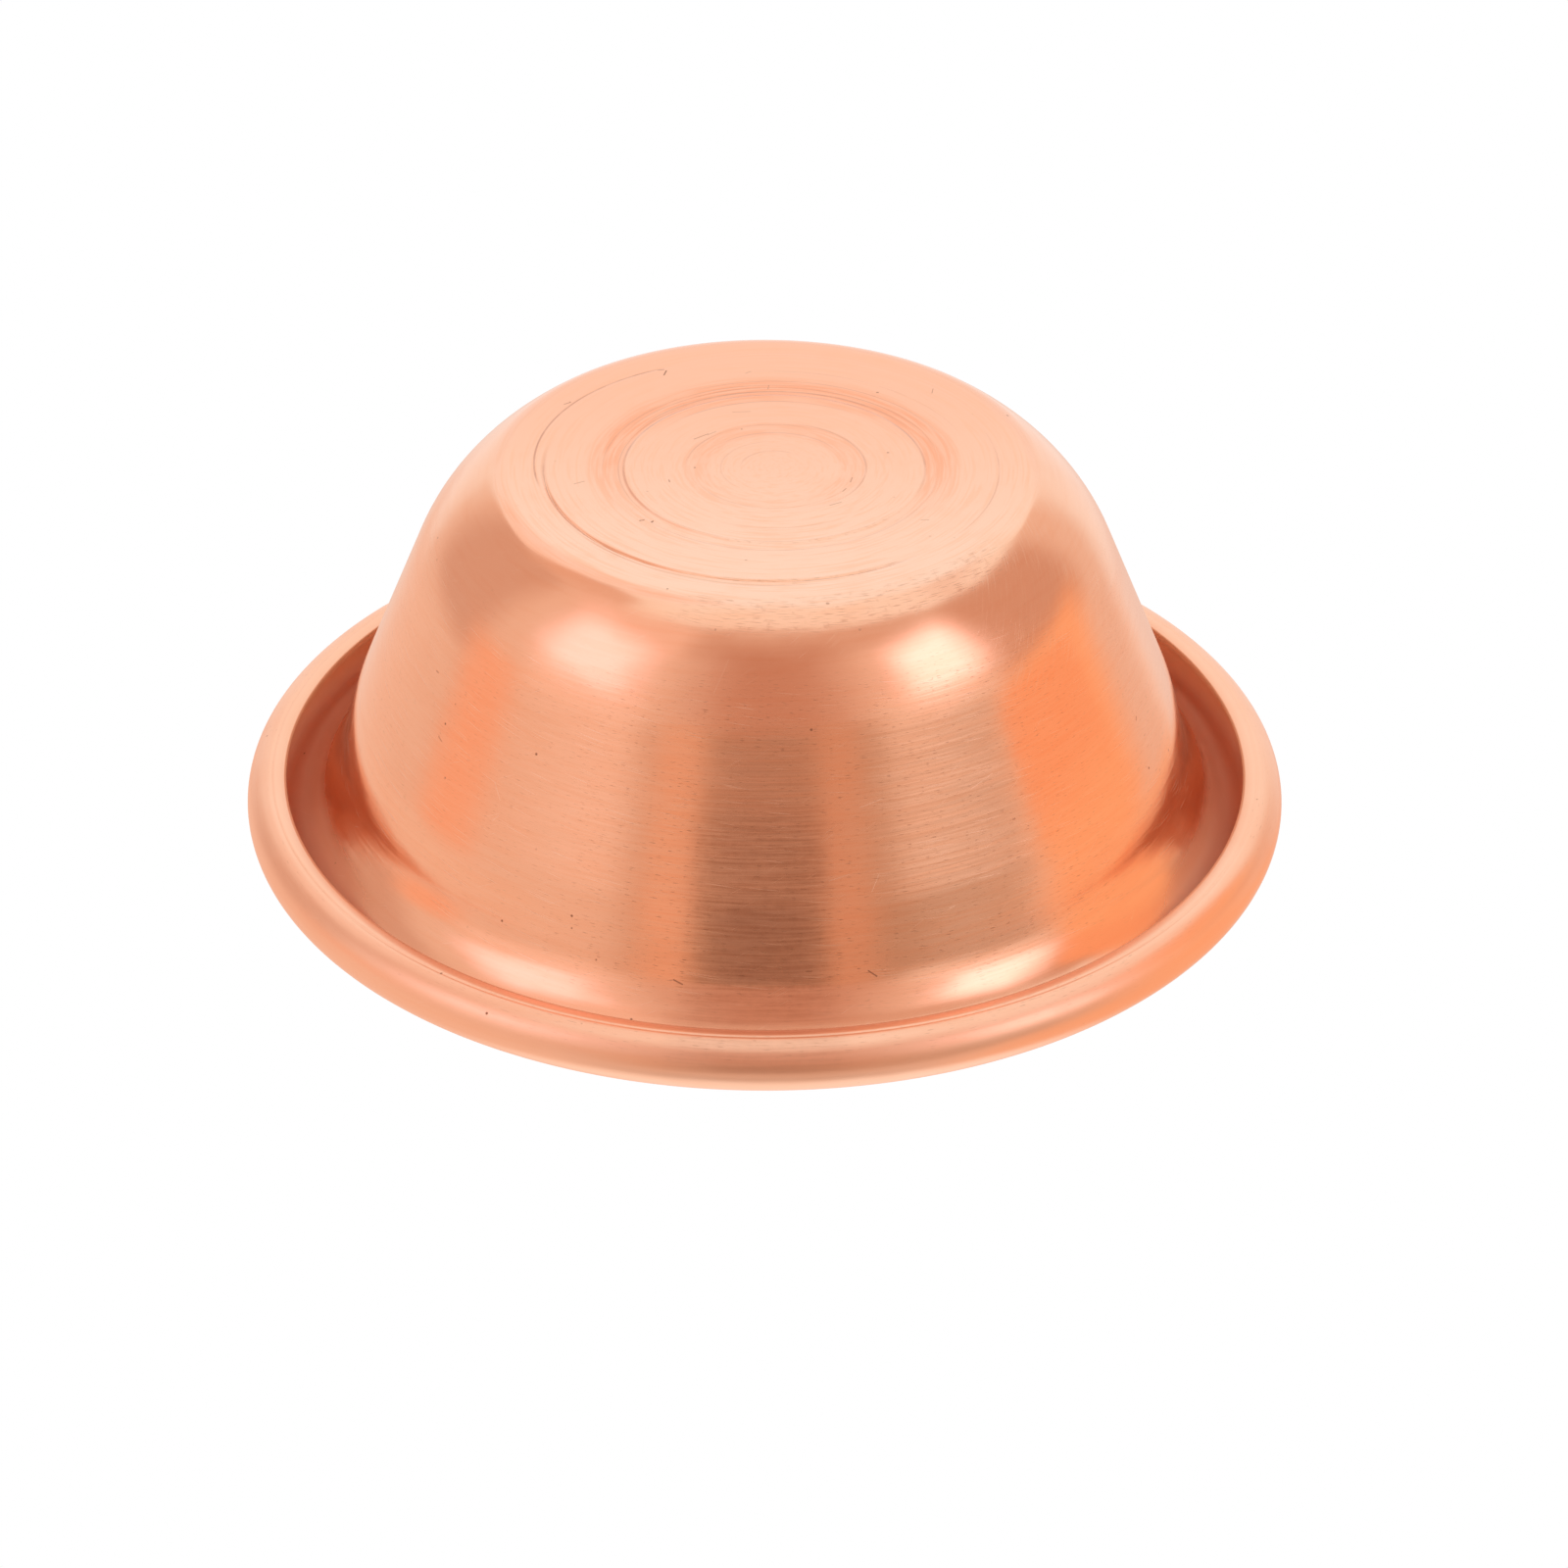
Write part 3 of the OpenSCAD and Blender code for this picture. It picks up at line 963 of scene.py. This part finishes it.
def studio_world():
    """White for the camera. In the metal's reflections it is a studio of soft lamps and cards."""
    world = bpy.data.worlds.new("studio")
    world.use_nodes = True
    bpy.context.scene.world = world
    s = Shader(world.node_tree)
    ray = s.node("ShaderNodeTexCoord").outputs["Generated"]
    elevation = s.math("DEGREES", s.math("ARCSINE", s.separate(ray)[2]))
    across, down = direction(PANEL[0]), direction(PANEL[1])
    panel_axis = (across[0] * down[0], across[1] * down[0], down[1])
    off_panel = s.math("DEGREES", s.math("ARCCOSINE", s.dot(ray, panel_axis)))

    def lay(colour, card):
        """Lays one lamp or card over the others."""
        azimuth, middle, half_w, fade_w, half_h, fade_h, light = card
        toward = direction(azimuth)
        ahead = s.dot(ray, (*toward, 0.0))
        aside = s.dot(ray, (-toward[1], toward[0], 0.0))
        off = s.math("ABSOLUTE", s.math("DEGREES", s.math("ARCTAN2", aside, ahead)))
        rise = s.math("ABSOLUTE", s.minus(elevation, middle))
        inside = s.times(s.ramp(off, half_w + fade_w, half_w), s.ramp(rise, half_h + fade_h, half_h))
        return s.mix(inside, colour, light)

    colour = s.mix(s.ramp(elevation, *HIGH_EDGE), SIDE_LIGHT, HIGH_LIGHT)
    for card in CARDS.values():
        colour = lay(colour, card)
    panel = s.ramp(off_panel, *PANEL_EDGE)
    colour = s.mix(panel, colour, PANEL_LIGHT)
    for card in OVER_PANEL:
        colour = s.mix(panel, colour, lay(colour, card))

    seen = s.node("ShaderNodeLightPath").outputs["Is Glossy Ray"]
    background = s.node("ShaderNodeBackground")
    s.feed(background.inputs["Color"], s.mix(seen, WHITE, colour))
    output = s.node("ShaderNodeOutputWorld")
    s.feed(output.inputs["Surface"], background.outputs["Background"])


def make_sheet(name, corners, material):
    """A flat piece of the studio with four corners."""
    mesh = bpy.data.meshes.new(name)
    mesh.from_pydata(corners, [], [(0, 1, 2, 3)])
    mesh.materials.append(material)
    sheet = bpy.data.objects.new(name, mesh)
    bpy.context.scene.collection.objects.link(sheet)
    return sheet


# A small orange card that stands near the bowl at its right. The metal shows it, the camera doesn't.
CARD_X = 31.0 * MM
CARD_Y = (1.0 * MM, 20.0 * MM)
CARD_Z = (2.0 * MM, 15.5 * MM)
CARD_FADE = 3.0 * MM
CARD_TOP_FADE = 1.5 * MM
CARD_LOW_LIGHT = (1.02, 0.50, 0.28)
CARD_HIGH_LIGHT = (1.05, 0.575, 0.33)
# Heights between which the one light turns into the other
CARD_TURN = (9.0 * MM, 13.0 * MM)


def make_card():
    material = new_material("orange_card")
    s = Shader(material.node_tree)
    _, y, z = s.separate(s.node("ShaderNodeTexCoord").outputs["Object"])
    shown = s.times(
        s.ramp(y, CARD_Y[0], CARD_Y[0] + CARD_FADE),
        s.ramp(y, CARD_Y[1], CARD_Y[1] - CARD_FADE),
        s.ramp(z, CARD_Z[0], CARD_Z[0] + CARD_FADE),
        s.ramp(z, CARD_Z[1], CARD_Z[1] - CARD_TOP_FADE),
    )
    glow = s.node("ShaderNodeEmission")
    s.feed(glow.inputs["Color"], s.mix(s.ramp(z, *CARD_TURN), CARD_LOW_LIGHT, CARD_HIGH_LIGHT))
    clear = s.node("ShaderNodeBsdfTransparent")
    s.surface(s.mix_shaders(shown, clear.outputs[0], glow.outputs[0]))

    corners = [(CARD_X, CARD_Y[i], CARD_Z[j]) for i, j in ((0, 0), (1, 0), (1, 1), (0, 1))]
    card = make_sheet("orange_card", corners, material)
    card.visible_camera = False
    card.visible_diffuse = False
    card.visible_shadow = False


FLOOR_SIZE = 3000.0 * MM
FLOOR_GAP = 0.05 * MM
FLOOR_COLOUR = (0.86, 0.855, 0.85)
# Distances from the bowl's axis between which the floor fades into the white
FLOOR_FADE = (60.0 * MM, 260.0 * MM)


def make_floor():
    """A pale floor under the bowl. It shows from above alone, and fades into the white background."""
    material = new_material("pale_floor")
    s = Shader(material.node_tree)
    length = s.node("ShaderNodeVectorMath", operation="LENGTH")
    s.feed(length.inputs[0], s.node("ShaderNodeTexCoord").outputs["Object"])
    matte = s.node("ShaderNodeBsdfDiffuse")
    matte.inputs["Color"].default_value = (*FLOOR_COLOUR, 1.0)
    white = s.node("ShaderNodeEmission")
    clear = s.node("ShaderNodeBsdfTransparent")
    far = s.ramp(length.outputs["Value"], *FLOOR_FADE)
    above = s.mix_shaders(far, matte.outputs[0], white.outputs[0])
    below = s.node("ShaderNodeNewGeometry").outputs["Backfacing"]
    s.surface(s.mix_shaders(below, above, clear.outputs[0]))

    half = FLOOR_SIZE / 2
    corners = [(x, y, -FLOOR_GAP) for x, y in ((-half, -half), (half, -half), (half, half), (-half, half))]
    floor = make_sheet("floor", corners, material)
    floor.visible_glossy = False
    floor.visible_shadow = False


LAMP_AT = Vector((-120.0 * MM, -100.0 * MM, 260.0 * MM))
LAMP_SIZE = 160.0 * MM
LAMP_POWER = 0.35


def make_lamp():
    """A soft lamp from above, for the bowl's shadow on the floor. The metal doesn't show it."""
    data = bpy.data.lights.new("soft_lamp", "AREA")
    data.shape = "DISK"
    data.size = LAMP_SIZE
    data.energy = LAMP_POWER
    lamp = bpy.data.objects.new("soft_lamp", data)
    lamp.location = LAMP_AT
    lamp.rotation_mode = "QUATERNION"
    lamp.rotation_quaternion = (-LAMP_AT).to_track_quat("-Z", "Y")
    lamp.visible_glossy = False
    bpy.context.scene.collection.objects.link(lamp)


def make_camera():
    rise = math.radians(CAMERA_RISE)
    forward = Vector((0.0, -math.cos(rise), math.sin(rise)))
    right = Vector((1.0, 0.0, 0.0))
    turn = Matrix((right, right.cross(forward), -forward)).transposed()
    data = bpy.data.cameras.new("camera")
    data.lens = CAMERA_LENS
    data.sensor_width = SENSOR
    data.clip_start = CAMERA_CLIP
    camera = bpy.data.objects.new("camera", data)
    camera.matrix_world = (
        Matrix.Translation(CAMERA_AIM - forward * CAMERA_DISTANCE)
        @ turn.to_4x4()
        @ Matrix.Rotation(math.radians(CAMERA_ROLL), 4, "Z")
    )
    bpy.context.scene.collection.objects.link(camera)
    bpy.context.scene.camera = camera


make_camera()
make_bowl()
studio_world()
make_card()
make_floor()
make_lamp()
bpy.context.scene.view_settings.view_transform = "Standard"
